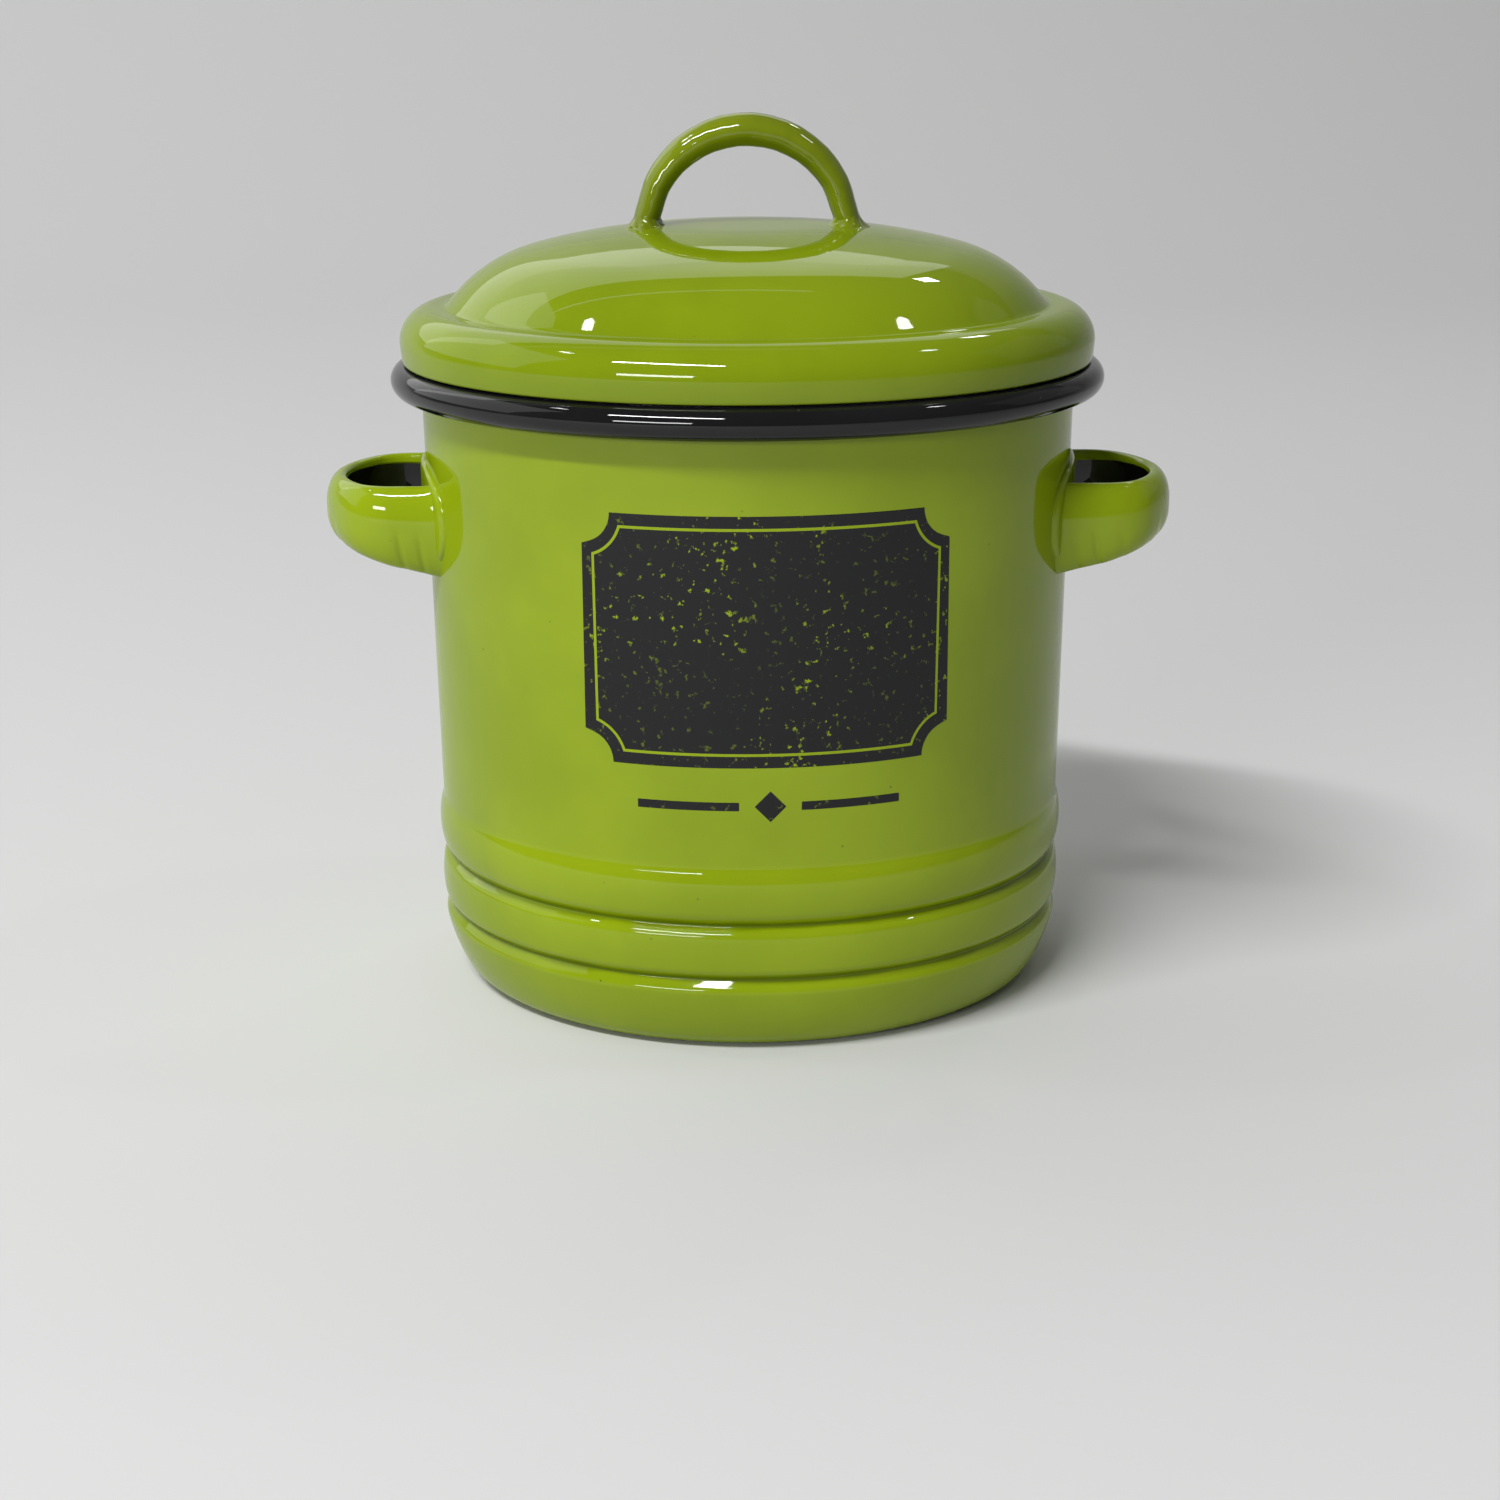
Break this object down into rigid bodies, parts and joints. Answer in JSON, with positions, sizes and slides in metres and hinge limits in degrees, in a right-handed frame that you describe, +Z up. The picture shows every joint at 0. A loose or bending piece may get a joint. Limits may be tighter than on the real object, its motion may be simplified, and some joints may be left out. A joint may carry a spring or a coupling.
{
  "type": "bacon grease container",
  "caption": "Round enamelled steel grease keeper with side handles, rolled rim, lift-out strainer and domed lid with an arched handle.",
  "frame": {"origin": "middle of the base's underside", "axes": "+Z up through the lid handle, +X through the right side handle, the printed front faces -Y"},
  "size_m": [0.175, 0.1462, 0.1784],
  "materials": {
    "green_enamel": "glossy green enamel outside, black ground coat inside",
    "black_enamel": "glossy black enamel",
    "handle_enamel": "glossy green enamel on steel strap, black on the unsprayed inside",
    "lid_enamel": "glossy green enamel",
    "lid_handle_enamel": "glossy green enamel on steel",
    "ground_enamel": "glossy black ground coat",
    "stainless": "satin stainless steel"
  },
  "bodies": {
    "pot": {"pot_body": "green_enamel", "rim_bead": "black_enamel", "handle_right_plate": "handle_enamel", "handle_right": "handle_enamel", "handle_left_plate": "handle_enamel", "handle_left": "handle_enamel"},
    "strainer": {"strainer_rim": "stainless", "strainer_mesh": "stainless"},
    "lid": {"lid_shell": "lid_enamel", "lid_skirt": "ground_enamel", "lid_handle": "lid_handle_enamel", "lid_handle_welds": "lid_handle_enamel"}
  },
  "joints": [
    {"name": "strainer_lift", "type": "slide", "parent": "pot", "child": "strainer", "axis": [0, 0, 1], "range_m": [0, 0.06]},
    {"name": "lid_lift", "type": "slide", "parent": "strainer", "child": "lid", "axis": [0, 0, 1], "range_m": [0, 0.07]}
  ]
}
